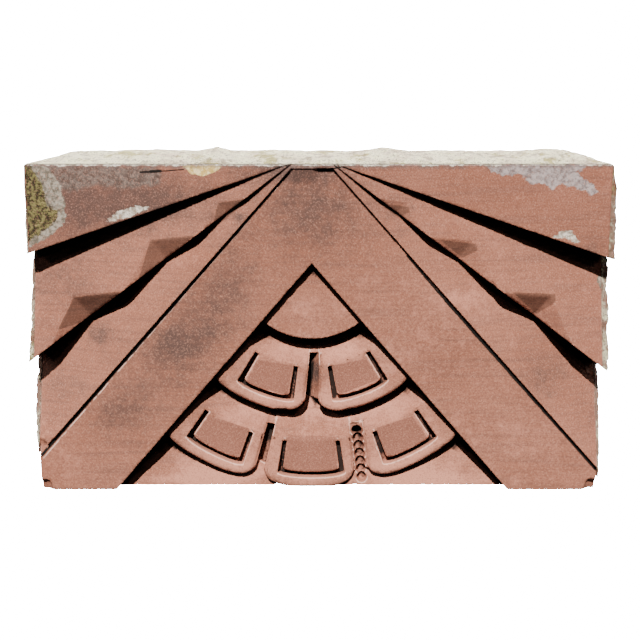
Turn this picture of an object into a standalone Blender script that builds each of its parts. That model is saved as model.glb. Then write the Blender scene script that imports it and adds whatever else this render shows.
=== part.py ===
"""Carved sandstone keystone of an arch, with the lime mortar that still clings to its bed and joints.

Metres, +Z up. The carved face looks towards -Y, and the stone stands on its bottom bed, centred on the
origin. A depth is measured into the stone from the plane of the carved face.
"""

import math
from collections import namedtuple

import bmesh
import bpy
from mathutils import Matrix, Vector
from mathutils.geometry import normal as normal_of

# Stone block
HEIGHT = 0.464
DEPTH = 0.180
TOP_WIDTH = 0.804
SIDE_TAPER = 0.006

# Saw-tooth rays, which fan out on both sides from just under the top arris. A ray starts at a distance
# from the centre line of the rays and falls at an angle
Ray = namedtuple("Ray", "start angle")
PANEL_RAY = Ray(0.0335, math.radians(18.8))
BAND_RAY = Ray(0.0300, math.radians(36.9))
V_RAY = Ray(0.0240, math.radians(48.4))
RAY_CENTRE_X = -0.009
RAY_DROP = 0.0008
UPPER_GROOVE_DEPTH = 0.052
LOWER_GROOVE_DEPTH = 0.066

# Chip-carved notches in the lower edge of the upper sunk band, measured along that edge
Notch = namedtuple("Notch", "start apex end height")
NOTCHES = (
    Notch(0.075, 0.110, 0.152, 0.018),
    Notch(0.165, 0.217, 0.286, 0.031),
    Notch(0.293, 0.354, 0.420, 0.036),
)
NOTCH_FALL = 0.082
NOTCH_OVERCUT = 0.001
NOTCH_HEADROOM = 0.002

# Flat band in the shape of an inverted V
V_BAND_DEPTH = 0.007
V_BAND_DROP = 0.1638
TOP_STRIP_HEIGHT = 0.006

# Sunk field inside the V band, with a fan centred on its upper point
FIELD_CENTRE_X = -0.0095
FIELD_HALF_ANGLE = math.radians(40.6)
FIELD_DEPTH = 0.064

# Pie slice at the top of the fan
PIE_RADIUS = 0.109
PIE_POINT_DEPTH = 0.023
PIE_LIP_DEPTH = 0.021

# Rows of scales that overlap like tiles. The face of a row rises steeply from its head to a knee and
# then gently to its lip. An inset is given by the angles of its two sides, in degrees
Row = namedtuple("Row", "inner outer head_depth knee_depth lip_depth gaps insets")
# Gap between two scales: its angle at the row's inner and outer radius, in degrees, its width, and how
# far its floor lies below the scales at its left and right side
Gap = namedtuple("Gap", "inner_angle outer_angle width left_floor right_floor drill_marks")
ROWS = (
    Row(
        0.109, 0.219, 0.058, 0.027, 0.020,
        (Gap(2.0, -0.6, 0.0155, 0.040, 0.012, 0),),
        ((-30.9, -8.6), (9.6, 31.6)),
    ),
    Row(
        0.219, 0.328, 0.048, 0.027, 0.020,
        (Gap(-13.9, -14.2, 0.0115, 0.026, 0.026, 0), Gap(15.6, 12.7, 0.018, 0.008, 0.007, 7)),
        ((-34.9, -19.5), (-8.6, 8.1), (20.1, 34.7)),
    ),
)
KNEE_LENGTH = 0.039
GAP_START = 0.024
GAP_HEAD_SUNK = 0.0004
SCALE_BURIED = 0.010
SCALE_CORNER_DROP = 0.018
SCALE_CORNER_POWER = 6
SCALE_ROUNDING = 0.004
LIP_STEPS = 18

# Inset of each scale: flush at its head, sunk at its lip and edged on three sides by a groove
INSET_LIP_RIM = 0.019
INSET_RECESS = 0.005
INSET_CORNER_DROP = 0.003
GROOVE_WIDTH = 0.006
GROOVE_HEAD_DEPTH = 0.010
GROOVE_LIP_DEPTH = 0.019
GROOVE_START = 0.004

# Sloping ground in the two lower corners of the field
GROUND_FOOT_DEPTH = 0.030
GROUND_SLOPE = 0.25
GROUND_START_RADIUS = 0.308

# Row of drill marks in a gap
DRILL_MOUTH_RADIUS = 0.0082
DRILL_POINT_RADIUS = 0.005
DRILL_SPACING = 0.0113
DRILL_DEPTH = 0.019
DRILL_SIDES = 12

# Chips out of the front side arrises: the side (-1 left, 1 right), the height, how far in they reach, and
# how steeply they point up into the stone
Chip = namedtuple("Chip", "side height reach rise")
CHIPS = (Chip(-1, 0.066, 0.015, 0.0), Chip(-1, 0.0, 0.021, 1.2), Chip(1, 0.0, 0.022, 1.2))
CHIP_TOOL_RADIUS = 0.050
CHIP_TOOL_LENGTH = 0.030
CHIP_SIDES = 7

# Mortar on the top bed: a ridge with lumps, as (place along the stone, extra height, width)
MORTAR_GAP = 0.0003
TOP_MORTAR_CREST = 0.0165
TOP_MORTAR_EDGE = 0.0015
TOP_MORTAR_SET_BACK = 0.001
TOP_MORTAR_END_TAPER = 0.055
TOP_MORTAR_LUMPS = (
    (-0.385, -0.004, 0.030),
    (-0.235, 0.002, 0.035),
    (-0.145, 0.006, 0.016),
    (-0.065, 0.002, 0.012),
    (0.092, 0.005, 0.022),
    (0.330, 0.003, 0.030),
)

# Mortar on the two side joints, as (share of the stone's height, thickness) from its lower end up
LEFT_MORTAR = ((0.12, 0.001), (0.17, 0.007), (0.22, 0.011), (0.43, 0.009), (0.73, 0.0045), (1.0, 0.0015))
RIGHT_MORTAR = (
    (0.045, 0.002),
    (0.08, 0.005),
    (0.22, 0.007),
    (0.43, 0.010),
    (0.74, 0.0115),
    (0.93, 0.009),
    (1.0, 0.003),
)
SIDE_MORTAR_EDGE = 0.002
SIDE_MORTAR_SET_BACK = 0.002
SIDE_MORTAR_BACK = 0.150
SIDE_MORTAR_WAVE = 0.0008
SIDE_MORTAR_WAVELENGTH = 0.060
MORTAR_TAPER = 0.018

# Allowances for clean cuts
OVERCUT = 0.030
SAWN_OFF = 0.020

FRONT_Y = -DEPTH / 2
RAY_START_Z = HEIGHT - RAY_DROP
V_TIP_Z = RAY_START_Z + V_RAY.start * math.tan(V_RAY.angle)
FIELD_CENTRE_Z = V_TIP_Z - V_BAND_DROP
REACH = TOP_WIDTH + HEIGHT


def clear_scene():
    for obj in list(bpy.data.objects):
        bpy.data.objects.remove(obj)


def make_collection(name, hidden=False):
    collection = bpy.data.collections.new(name)
    bpy.context.scene.collection.children.link(collection)
    collection.hide_render = hidden
    return collection


def make_material(name, colour, roughness):
    material = bpy.data.materials.new(name)
    material.use_nodes = True
    shader = material.node_tree.nodes["Principled BSDF"]
    shader.inputs["Base Color"].default_value = (*colour, 1.0)
    shader.inputs["Roughness"].default_value = roughness
    shader.inputs["Metallic"].default_value = 0.0
    return material


def half_width(z):
    """Half the stone's width at a height. Each side comes in by the taper from the top bed to the foot."""
    return TOP_WIDTH / 2 - SIDE_TAPER * (1 - z / HEIGHT)


def ray_point(side, ray, distance, depth=0.0):
    """Point at a distance down the ray on the left (-1) or right (1) side."""
    x = RAY_CENTRE_X + side * (ray.start + distance * math.cos(ray.angle))
    return Vector((x, FRONT_Y + depth, RAY_START_Z - distance * math.sin(ray.angle)))


def field_point(radius, angle):
    """(x, z) at a radius from the field's upper point, at an angle from straight down."""
    return (
        FIELD_CENTRE_X + radius * math.sin(angle),
        FIELD_CENTRE_Z - radius * math.cos(angle),
    )


def link_mesh(name, mesh, collection, material=None):
    """Object made from a finished bmesh. Without a material it is a cutter or a filler."""
    bmesh.ops.recalc_face_normals(mesh, faces=mesh.faces)
    data = bpy.data.meshes.new(name)
    mesh.to_mesh(data)
    mesh.free()
    obj = bpy.data.objects.new(name, data)
    collection.objects.link(obj)
    if material:
        data.materials.append(material)
    else:
        obj.hide_render = True
        obj.display_type = "WIRE"
    return obj


def carve(obj, tool, operation="DIFFERENCE"):
    modifier = obj.modifiers.new(f"{operation.title()} {tool.name}", "BOOLEAN")
    modifier.operation = operation
    modifier.solver = "EXACT"
    modifier.object = tool


def box_between(mesh, low, high):
    low, high = Vector(low), Vector(high)
    bmesh.ops.create_cube(mesh, size=1.0, matrix=Matrix.LocRotScale((low + high) / 2, None, high - low))


def wedge(name, low, high, planes, collection):
    """Box cut back by planes, each given as three points and a point on the side that is removed."""
    mesh = bmesh.new()
    box_between(mesh, low, high)
    for a, b, c, removed in planes:
        facing = normal_of(a, b, c)
        if facing.dot(removed - a) < 0:
            facing.negate()
        everything = mesh.verts[:] + mesh.edges[:] + mesh.faces[:]
        cut = bmesh.ops.bisect_plane(mesh, geom=everything, plane_co=a, plane_no=facing, clear_outer=True)
        rim = [part for part in cut["geom_cut"] if isinstance(part, bmesh.types.BMEdge)]
        bmesh.ops.edgeloop_fill(mesh, edges=rim)
    return link_mesh(name, mesh, collection)


def add_prism(mesh, outline, near, far):
    """Prism on an outline of (x, z) points. near and far give the depths of its two ends at (x, z)."""
    front = mesh.faces.new([mesh.verts.new((x, FRONT_Y + near(x, z), z)) for x, z in outline])
    made = bmesh.ops.extrude_face_region(mesh, geom=[front])["geom"]
    for vertex in made:
        if isinstance(vertex, bmesh.types.BMVert):
            vertex.co.y = FRONT_Y + far(vertex.co.x, vertex.co.z)


def add_sweep(mesh, sections):
    """Closed solid through sections of (x, depth, z) points, all with the same number of points."""
    loops = [[mesh.verts.new((x, FRONT_Y + depth, z)) for x, depth, z in section] for section in sections]
    faces = [mesh.faces.new(loops[0]), mesh.faces.new(loops[-1])]
    for last, following in zip(loops, loops[1:]):
        for i in range(len(last)):
            faces.append(mesh.faces.new((last[i - 1], last[i], following[i], following[i - 1])))
    bmesh.ops.triangulate(mesh, faces=faces)


def level(depth):
    return lambda x, z: depth


def tilted(angle, start, start_depth, end, end_depth):
    """Depth that runs evenly from one radius to another, along the field's radius at an angle."""

    def depth(x, z):
        along = (x - FIELD_CENTRE_X) * math.sin(angle) + (FIELD_CENTRE_Z - z) * math.cos(angle)
        return start_depth + (end_depth - start_depth) * (along - start) / (end - start)

    return depth


def make_block(collection, material):
    """The uncarved block, longer at its foot than the finished stone."""
    outline = [
        (-half_width(-SAWN_OFF), -SAWN_OFF),
        (half_width(-SAWN_OFF), -SAWN_OFF),
        (half_width(HEIGHT), HEIGHT),
        (-half_width(HEIGHT), HEIGHT),
    ]
    mesh = bmesh.new()
    add_prism(mesh, outline, level(0.0), level(DEPTH))
    return link_mesh("carved_keystone", mesh, collection, material)


def sunk_band_planes(side, upper_ray, lower_ray, groove_depth):
    """Planes of one sunk band: the wall under its upper ray, and the facet that rises to its lower ray."""
    run = half_width(HEIGHT) / math.cos(upper_ray.angle)
    upper_start = ray_point(side, upper_ray, 0.0)
    upper_behind = ray_point(side, upper_ray, 0.0, DEPTH)
    upper_end = ray_point(side, upper_ray, run)
    upper_deep = ray_point(side, upper_ray, run, groove_depth)
    lower_start = ray_point(side, lower_ray, 0.0)
    lower_end = ray_point(side, lower_ray, run)
    above = upper_start + Vector((0.0, 0.0, REACH))
    behind = upper_deep + Vector((0.0, DEPTH, 0.0))
    return (upper_start, upper_behind, upper_end, above), (lower_start, upper_deep, lower_end, behind)


def make_sunk_band(name, side, upper_ray, lower_ray, groove_depth, collection):
    low = (-half_width(HEIGHT) - OVERCUT, FRONT_Y - OVERCUT, -OVERCUT * 2)
    high = (half_width(HEIGHT) + OVERCUT, FRONT_Y + groove_depth * 2, HEIGHT + OVERCUT)
    planes = sunk_band_planes(side, upper_ray, lower_ray, groove_depth)
    return wedge(name, low, high, planes, collection)


def make_notch(name, side, notch, collection):
    """Wedge with two facets that meet in a valley, from the band's face down to its lower edge."""
    across = BAND_RAY.angle - PANEL_RAY.angle
    band_slope = UPPER_GROOVE_DEPTH * math.cos(PANEL_RAY.angle) / (half_width(HEIGHT) * math.sin(across))

    def edge_point(along, height, depth):
        point = ray_point(side, BAND_RAY, along, depth)
        return point + height * Vector((side * math.sin(BAND_RAY.angle), 0.0, math.cos(BAND_RAY.angle)))

    start = edge_point(notch.start, 0.0, 0.0)
    end = edge_point(notch.end, 0.0, 0.0)
    apex = edge_point(notch.apex, notch.height, notch.height * band_slope)
    valley = edge_point(notch.apex, 0.0, notch.apex * NOTCH_FALL)
    foot, head = (
        [edge_point(along, height, depth) for along, depth in ((0.0, 0.0), (REACH, 0.0), (REACH, DEPTH))]
        for height in (-NOTCH_OVERCUT, notch.height + NOTCH_HEADROOM)
    )
    below = edge_point(notch.apex, -REACH, 0.0)
    above = edge_point(notch.apex, REACH, 0.0)
    behind = valley + Vector((0.0, DEPTH, 0.0))
    middle = (start + end) / 2
    reach = Vector((notch.end - notch.start, DEPTH / 2, notch.end - notch.start))
    planes = (
        (apex, start, valley, behind),
        (apex, end, valley, behind),
        (*foot, below),
        (*head, above),
    )
    return wedge(name, middle - reach, middle + reach, planes, collection)


def make_v_recess(collection):
    """Cutter that sinks the V band and all that it encloses below the carved face."""
    outline = []
    strip_distance = (TOP_STRIP_HEIGHT - RAY_DROP) / math.sin(V_RAY.angle)
    for side, distances in ((-1, (REACH, strip_distance)), (1, (strip_distance, REACH))):
        for distance in distances:
            point = ray_point(side, V_RAY, distance)
            outline.append((point.x, point.z))
    mesh = bmesh.new()
    add_prism(mesh, outline, level(-OVERCUT), level(V_BAND_DEPTH))
    return link_mesh("v_band_recess", mesh, collection)


def make_field_recess(collection):
    outline = [
        field_point(0.0, 0.0),
        field_point(REACH, FIELD_HALF_ANGLE),
        field_point(REACH, -FIELD_HALF_ANGLE),
    ]
    mesh = bmesh.new()
    add_prism(mesh, outline, level(-OVERCUT), level(FIELD_DEPTH))
    return link_mesh("field_recess", mesh, collection)


def make_pie(collection):
    """Slice of a disc that fills the field's upper point, its sides buried in the V band."""
    spread = FIELD_HALF_ANGLE + SCALE_BURIED / PIE_RADIUS
    outline = [(FIELD_CENTRE_X, FIELD_CENTRE_Z + SCALE_BURIED)]
    for step in range(LIP_STEPS + 1):
        outline.append(field_point(PIE_RADIUS, spread * (2 * step / LIP_STEPS - 1)))
    face = tilted(0.0, 0.0, PIE_POINT_DEPTH, PIE_RADIUS, PIE_LIP_DEPTH)
    mesh = bmesh.new()
    add_prism(mesh, outline, face, level(FIELD_DEPTH + SAWN_OFF))
    return link_mesh("pie_slice", mesh, collection)


def middle_radius(row):
    return (row.inner + row.outer) / 2


def row_depth(row, radius):
    """Depth of a row's face at a radius, on its steep part up to the knee or its gentle part after it."""
    knee = row.inner + KNEE_LENGTH
    if radius < knee:
        return row.head_depth + (row.knee_depth - row.head_depth) * (radius - row.inner) / KNEE_LENGTH
    return row.knee_depth + (row.lip_depth - row.knee_depth) * (radius - knee) / (row.outer - knee)


def rim_plane(row, angle):
    """Depth of the gentle part of a row's face as one plane, along the radius at an angle."""
    return tilted(angle, row.inner + KNEE_LENGTH, row.knee_depth, row.outer, row.lip_depth)


def gap_angle(row, gap, radius):
    share = (radius - row.inner) / (row.outer - row.inner)
    return math.radians(gap.inner_angle + (gap.outer_angle - gap.inner_angle) * share)


def scale_sides(row):
    """Two functions for each scale of a row, which give the angle of its left and right side at a radius."""
    buried = FIELD_HALF_ANGLE + SCALE_BURIED / middle_radius(row)
    sides = [lambda radius: -buried]
    for gap in row.gaps:
        half = gap.width / 2 / middle_radius(row)
        sides.append(lambda radius, gap=gap, half=half: gap_angle(row, gap, radius) - half)
        sides.append(lambda radius, gap=gap, half=half: gap_angle(row, gap, radius) + half)
    sides.append(lambda radius: buried)
    return list(zip(sides[::2], sides[1::2]))


def lip_places(outer, corner_drop):
    """(place, radius) along a lip that curves in at its two corners, with the place from -1 to 1."""
    places = [math.sin(math.pi / 2 * (2 * step / LIP_STEPS - 1)) for step in range(LIP_STEPS + 1)]
    return [(place, outer - corner_drop * abs(place) ** SCALE_CORNER_POWER) for place in places]


def add_scale(mesh, row, left, right):
    """One scale, rounded over at its lip and its sides. Its head lies under the row above."""
    head = row.inner - SAWN_OFF
    foot_depth = FIELD_DEPTH + SAWN_OFF
    sections = []
    for place, lip in lip_places(row.outer, SCALE_CORNER_DROP):
        from_side = (1 - abs(place)) / 2 * (right(lip) - left(lip)) * middle_radius(row)
        side_drop = max(0.0, SCALE_ROUNDING - from_side)
        profile = [(head, foot_depth)]
        profile += [(radius, row_depth(row, radius)) for radius in (head, row.inner + GAP_START)]
        profile += [
            (radius, row_depth(row, radius) + side_drop)
            for radius in (row.inner + KNEE_LENGTH, lip - SCALE_ROUNDING)
        ]
        profile.append((lip, row_depth(row, lip) + SCALE_ROUNDING + side_drop))
        profile.append((lip, foot_depth))
        section = []
        for radius, depth in profile:
            middle, half = (left(radius) + right(radius)) / 2, (right(radius) - left(radius)) / 2
            x, z = field_point(radius, middle + half * place)
            section.append((x, depth, z))
        sections.append(section)
    add_sweep(mesh, sections)


def gap_outline(row, gap, near, far):
    """Corners of a gap between two radii, reaching a little way into the scales on its two sides."""
    outline = []
    for radius, side in ((near, -1), (near, 1), (far, 1), (far, -1)):
        spread = side * (gap.width / 2 + SCALE_ROUNDING) / middle_radius(row)
        outline.append(field_point(radius, gap_angle(row, gap, radius) + spread))
    return outline


def gap_floor(row, gap):
    """Depth of a gap's floor, which leans from its left side to its right side."""
    angle = gap_angle(row, gap, middle_radius(row))
    rim = rim_plane(row, angle)
    lean = (gap.right_floor - gap.left_floor) / gap.width

    def depth(x, z):
        across = (x - FIELD_CENTRE_X) * math.cos(angle) - (FIELD_CENTRE_Z - z) * math.sin(angle)
        return rim(x, z) + (gap.left_floor + gap.right_floor) / 2 + lean * across

    return depth


def make_gap_fillings(row, number, collection):
    """Heads of a row's gaps, which carry the steep part of the face across them, and the gaps' own floors."""
    gap_start = row.inner + GAP_START
    foot = level(FIELD_DEPTH + SAWN_OFF / 2)
    heads, floors = bmesh.new(), bmesh.new()
    for gap in row.gaps:
        angle = gap_angle(row, gap, gap_start)
        inner_depth = row_depth(row, row.inner) + GAP_HEAD_SUNK
        start_depth = row_depth(row, gap_start) + GAP_HEAD_SUNK
        head_face = tilted(angle, row.inner, inner_depth, gap_start, start_depth)
        add_prism(heads, gap_outline(row, gap, row.inner - SAWN_OFF / 2, gap_start), head_face, foot)

        floor_outline = gap_outline(row, gap, gap_start - GAP_HEAD_SUNK, row.outer - SCALE_CORNER_DROP)
        add_prism(floors, floor_outline, gap_floor(row, gap), foot)
    return (
        link_mesh(f"gap_heads_{number}", heads, collection),
        link_mesh(f"gap_floors_{number}", floors, collection),
    )


def inset_outline(row, inset, grow, head):
    """(x, z) outline of an inset, grown on three sides, from the radius of its head to its lip and back."""
    grow_angle = grow / middle_radius(row)
    left, right = math.radians(inset[0]) - grow_angle, math.radians(inset[1]) + grow_angle
    middle, half = (left + right) / 2, (right - left) / 2
    outline = [field_point(head, left)]
    for place, radius in lip_places(row.outer - INSET_LIP_RIM + grow, INSET_CORNER_DROP):
        outline.append(field_point(radius, middle + half * place))
    outline.append(field_point(head, right))
    return outline


def inset_face(row, inset):
    """Depth of an inset: level with the face at the knee, and sunk below it at the lip."""
    knee = row.inner + KNEE_LENGTH
    lip = row.outer - INSET_LIP_RIM
    middle = math.radians(sum(inset) / 2)
    return tilted(middle, knee, row.knee_depth, lip, row_depth(row, lip) + INSET_RECESS)


def make_insets(row, number, collection):
    """Cutters of a row's insets and of the grooves round them."""
    knee = row.inner + KNEE_LENGTH
    lip = row.outer - INSET_LIP_RIM
    faces, grooves = bmesh.new(), bmesh.new()
    for inset in row.insets:
        face_outline = inset_outline(row, inset, 0.0, row.inner + GAP_START)
        add_prism(faces, face_outline, level(0.0), inset_face(row, inset))
        outer = inset_outline(row, inset, GROOVE_WIDTH / 2, knee + GROOVE_START)
        inner = inset_outline(row, inset, -GROOVE_WIDTH / 2, knee + GROOVE_START)
        middle = math.radians(sum(inset) / 2)
        head_depth = row.knee_depth + GROOVE_HEAD_DEPTH
        floor = tilted(middle, knee, head_depth, lip, row_depth(row, lip) + GROOVE_LIP_DEPTH)
        add_prism(grooves, outer + inner[::-1], level(0.0), floor)
    return (
        link_mesh(f"inset_faces_{number}", faces, collection),
        link_mesh(f"inset_grooves_{number}", grooves, collection),
    )


def make_scales(row, number, collection):
    bodies = bmesh.new()
    for left, right in scale_sides(row):
        add_scale(bodies, row, left, right)
    return link_mesh(f"scale_bodies_{number}", bodies, collection)


def make_ground(name, side, collection):
    """Ground that rises towards the foot of the field, from its side to just past the nearest gap."""
    row = ROWS[-1]
    gap = max(row.gaps, key=lambda gap: side * gap.outer_angle)
    inner_angle = math.radians(gap.outer_angle) - side * (gap.width + SCALE_CORNER_DROP) / row.outer
    outer_angle = side * (FIELD_HALF_ANGLE + SCALE_BURIED / row.outer)
    outline = [
        field_point(GROUND_START_RADIUS, inner_angle),
        field_point(GROUND_START_RADIUS, outer_angle),
        field_point((FIELD_CENTRE_Z + OVERCUT) / math.cos(outer_angle), outer_angle),
        field_point((FIELD_CENTRE_Z + OVERCUT) / math.cos(inner_angle), inner_angle),
    ]
    mesh = bmesh.new()
    add_prism(
        mesh,
        outline,
        lambda x, z: GROUND_FOOT_DEPTH + GROUND_SLOPE * z,
        level(FIELD_DEPTH + SAWN_OFF),
    )
    return link_mesh(name, mesh, collection)


def make_drill_mark(name, row, gap, radius, collection):
    """Tapered hole at a radius in a gap, square to the carved face."""
    x, z = field_point(radius, gap_angle(row, gap, radius))
    floor = gap_floor(row, gap)(x, z)
    turn = Matrix.Rotation(math.pi / 2, 4, "X")
    place = Matrix.Translation((x, FRONT_Y + floor, z))
    taper = (DRILL_MOUTH_RADIUS - DRILL_POINT_RADIUS) / DRILL_DEPTH
    mesh = bmesh.new()
    bmesh.ops.create_cone(
        mesh,
        cap_ends=True,
        segments=DRILL_SIDES,
        radius1=DRILL_POINT_RADIUS,
        radius2=DRILL_MOUTH_RADIUS + taper * DRILL_DEPTH,
        depth=DRILL_DEPTH * 2,
        matrix=place @ turn,
    )
    return link_mesh(name, mesh, collection)


def make_chip(name, chip, collection):
    """Blunt point that reaches into the stone at the front side arris."""
    arris = Vector((chip.side * half_width(chip.height), FRONT_Y, chip.height))
    inward = Vector((-chip.side, 1.0, chip.rise)).normalized()
    place = Matrix.Translation(arris + inward * (chip.reach - CHIP_TOOL_LENGTH / 2))
    mesh = bmesh.new()
    bmesh.ops.create_cone(
        mesh,
        cap_ends=True,
        segments=CHIP_SIDES,
        radius1=CHIP_TOOL_RADIUS,
        radius2=0.0,
        depth=CHIP_TOOL_LENGTH,
        matrix=place @ inward.to_track_quat("Z", "Y").to_matrix().to_4x4(),
    )
    return link_mesh(name, mesh, collection)


def make_bed_saw(collection):
    """Cutter that leaves the flat bottom bed."""
    mesh = bmesh.new()
    reach = TOP_WIDTH
    box_between(mesh, (-reach, -reach, -reach), (reach, reach, 0.0))
    return link_mesh("bed_saw", mesh, collection)


def carve_row(block, row, number, collection):
    carve(block, make_scales(row, number, collection), "UNION")
    for filling in make_gap_fillings(row, number, collection):
        carve(block, filling, "UNION")
    for cutter in make_insets(row, number, collection):
        carve(block, cutter)
    for gap in row.gaps:
        for mark in range(gap.drill_marks):
            radius = row.outer - DRILL_SPACING * (mark + 0.5)
            carve(block, make_drill_mark(f"drill_mark_{number}_{mark + 1}", row, gap, radius, collection))


def carve_keystone(block, band_cutters, collection):
    for cutter in band_cutters:
        carve(block, cutter)
    for side, name in ((-1, "left"), (1, "right")):
        for number, notch in enumerate(NOTCHES, start=1):
            carve(block, make_notch(f"notch_{name}_{number}", side, notch, collection))
    carve(block, make_v_recess(collection))
    carve(block, make_field_recess(collection))
    carve(block, make_ground("ground_left", -1, collection), "UNION")
    carve(block, make_ground("ground_right", 1, collection), "UNION")
    for number, row in enumerate(ROWS, start=1):
        carve_row(block, row, number, collection)
    carve(block, make_pie(collection), "UNION")
    for number, chip in enumerate(CHIPS, start=1):
        carve(block, make_chip(f"chip_{number}", chip, collection))
    carve(block, make_bed_saw(collection))


def make_slab(name, steps_along, steps_across, place, collection, material):
    """Closed slab on a grid. place gives the point at (along, across) from 0 to 1, on or under its face."""
    mesh = bmesh.new()
    bmesh.ops.create_grid(mesh, x_segments=steps_along, y_segments=steps_across, size=0.5)
    raised = bmesh.ops.extrude_face_region(mesh, geom=mesh.faces[:])["geom"]
    raised = {part for part in raised if isinstance(part, bmesh.types.BMVert)}
    for vertex in mesh.verts:
        vertex.co = place(vertex.co.x + 0.5, vertex.co.y + 0.5, vertex in raised)
    return link_mesh(name, mesh, collection, material)


def end_fade(distance, taper):
    """From 0 at an end to 1 at a taper's length from it."""
    return math.sin(math.pi / 2 * min(1.0, max(0.0, distance / taper)))


def top_mortar_crest(x):
    crest = TOP_MORTAR_CREST
    for centre, height, width in TOP_MORTAR_LUMPS:
        crest += height * math.exp(-(((x - centre) / width) ** 2))
    return crest * end_fade(half_width(HEIGHT) - abs(x), TOP_MORTAR_END_TAPER)


def make_top_mortar(collection, material):
    length = TOP_WIDTH - 2 * TOP_MORTAR_SET_BACK
    breadth = DEPTH - 2 * TOP_MORTAR_SET_BACK

    def place(along, across, on_face):
        x = (along - 0.5) * length
        across = (1 - math.cos(math.pi * across)) / 2
        y = (across - 0.5) * breadth
        z = HEIGHT + MORTAR_GAP
        if on_face:
            swell = math.sin(math.pi * across) ** 0.5
            z += TOP_MORTAR_EDGE + max(0.0, top_mortar_crest(x) - TOP_MORTAR_EDGE) * swell
        return Vector((x, y, z))

    return make_slab("top_bed_mortar", 44, 8, place, collection, material)


def thickness_at(profile, share):
    """Thickness at a share of the stone's height, straight between the profile's points."""
    for (low, low_thickness), (high, high_thickness) in zip(profile, profile[1:]):
        if share <= high:
            return low_thickness + (high_thickness - low_thickness) * (share - low) / (high - low)
    return profile[-1][1]


def make_side_mortar(name, side, profile, collection, material):
    low_end = profile[0][0] * HEIGHT
    high_end = HEIGHT - TOP_MORTAR_SET_BACK

    def place(along, across, on_face):
        z = low_end + (high_end - low_end) * along
        depth = SIDE_MORTAR_SET_BACK + (SIDE_MORTAR_BACK - SIDE_MORTAR_SET_BACK) * across
        x = half_width(z) + MORTAR_GAP
        if on_face:
            full = thickness_at(profile, z / HEIGHT)
            full += SIDE_MORTAR_WAVE * math.sin(2 * math.pi * z / SIDE_MORTAR_WAVELENGTH)
            from_back = end_fade(SIDE_MORTAR_BACK - depth, MORTAR_TAPER)
            x += max(SIDE_MORTAR_EDGE / 2, SIDE_MORTAR_EDGE + (full - SIDE_MORTAR_EDGE) * from_back)
        return Vector((side * x, FRONT_Y + depth, z))

    return make_slab(name, 30, 6, place, collection, material)


def main():
    clear_scene()
    parts = make_collection("arch_keystone")
    tools = make_collection("cutters", hidden=True)
    sandstone = make_material("pink sandstone", (0.44, 0.25, 0.19), 0.92)
    mortar = make_material("lime mortar", (0.78, 0.72, 0.62), 0.95)

    block = make_block(parts, sandstone)
    band_cutters = []
    for side, name in ((-1, "left"), (1, "right")):
        for level_name, rays, depth in (
            ("upper", (PANEL_RAY, BAND_RAY), UPPER_GROOVE_DEPTH),
            ("lower", (BAND_RAY, V_RAY), LOWER_GROOVE_DEPTH),
        ):
            band_cutters.append(make_sunk_band(f"{level_name}_band_{name}", side, *rays, depth, tools))
    carve_keystone(block, band_cutters, tools)

    make_top_mortar(parts, mortar)
    left = make_side_mortar("left_joint_mortar", -1, LEFT_MORTAR, parts, mortar)
    right = make_side_mortar("right_joint_mortar", 1, RIGHT_MORTAR, parts, mortar)
    for piece, cutters in ((left, band_cutters[:2]), (right, band_cutters[2:])):
        for cutter in cutters:
            carve(piece, cutter)


main()
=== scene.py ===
"""Looks of the carved sandstone keystone: fine stone and mortar surfaces, patina, camera and light."""

import math

import bmesh
import bpy
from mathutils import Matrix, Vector, noise
from mathutils.bvhtree import BVHTree
from mathutils.geometry import delaunay_2d_cdt
from mathutils.kdtree import KDTree


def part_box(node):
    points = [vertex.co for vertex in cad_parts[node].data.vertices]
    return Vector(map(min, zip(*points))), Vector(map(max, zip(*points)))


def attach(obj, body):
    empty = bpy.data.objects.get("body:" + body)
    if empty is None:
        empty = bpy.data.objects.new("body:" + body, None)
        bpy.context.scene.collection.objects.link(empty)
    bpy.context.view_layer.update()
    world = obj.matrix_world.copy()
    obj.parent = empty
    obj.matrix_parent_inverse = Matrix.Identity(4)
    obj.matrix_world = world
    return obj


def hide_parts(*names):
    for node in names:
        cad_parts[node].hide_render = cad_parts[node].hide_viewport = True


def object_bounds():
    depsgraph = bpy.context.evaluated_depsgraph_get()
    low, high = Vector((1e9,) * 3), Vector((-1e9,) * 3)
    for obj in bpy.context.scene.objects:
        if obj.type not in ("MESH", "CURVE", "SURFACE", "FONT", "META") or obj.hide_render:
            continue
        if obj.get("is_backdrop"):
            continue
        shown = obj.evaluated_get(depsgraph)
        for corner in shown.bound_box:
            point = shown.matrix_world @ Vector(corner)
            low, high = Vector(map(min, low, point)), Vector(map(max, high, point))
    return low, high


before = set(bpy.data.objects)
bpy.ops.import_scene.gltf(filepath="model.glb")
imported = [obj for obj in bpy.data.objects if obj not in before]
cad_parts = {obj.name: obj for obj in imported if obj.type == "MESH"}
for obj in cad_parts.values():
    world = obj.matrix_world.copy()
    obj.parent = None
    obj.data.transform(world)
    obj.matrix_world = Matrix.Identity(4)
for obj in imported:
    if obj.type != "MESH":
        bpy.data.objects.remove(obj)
CAD_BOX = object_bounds()

STONE = "carved_keystone"
TOP_MORTAR = "top_bed_mortar"
LEFT_MORTAR = "left_joint_mortar"
RIGHT_MORTAR = "right_joint_mortar"
STONE_LOW, STONE_HIGH = (Vector(corner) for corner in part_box(STONE))
FRONT_Y = STONE_LOW.y
BACK_Y = STONE_HIGH.y
TOP_Z = STONE_HIGH.z

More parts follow.
